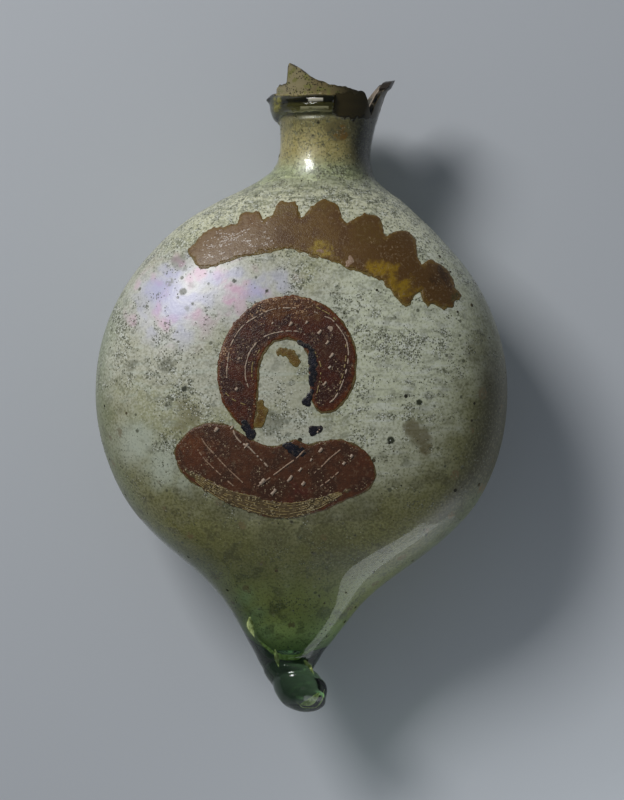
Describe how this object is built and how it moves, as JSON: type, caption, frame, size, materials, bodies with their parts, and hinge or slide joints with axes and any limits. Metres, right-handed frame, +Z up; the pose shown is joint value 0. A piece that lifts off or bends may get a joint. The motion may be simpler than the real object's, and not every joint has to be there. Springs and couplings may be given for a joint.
{
  "type": "pilgrim flask",
  "caption": "Ancient blown-glass flask with a flattened round body, short neck, broken flaring mouth, wound glass trail, curled solid tail and a painted bust under a wreath.",
  "frame": {"origin": "middle of the small flat spot on the back that the flask rests on, under the middle of the body", "axes": "+Y along the flask towards the broken mouth, +X to the right seen from above, +Z up out of the painted face"},
  "size_m": [0.1278, 0.2, 0.0638],
  "materials": {
    "weathered_glass": "pale green blown glass with a milky, pitted weathering film",
    "weathering_film": "milky, stippled, faintly iridescent",
    "red_brown_paint": "thick matt painted enamel, worn",
    "amber_paint": "thin amber painted enamel, satin",
    "dark_paint": "blue-black painted enamel, worn",
    "cream_line": "cream and gold fine lines",
    "soil": "dry soil and dark pits"
  },
  "bodies": {
    "root": {"flask": "weathered_glass"}
  },
  "joints": []
}
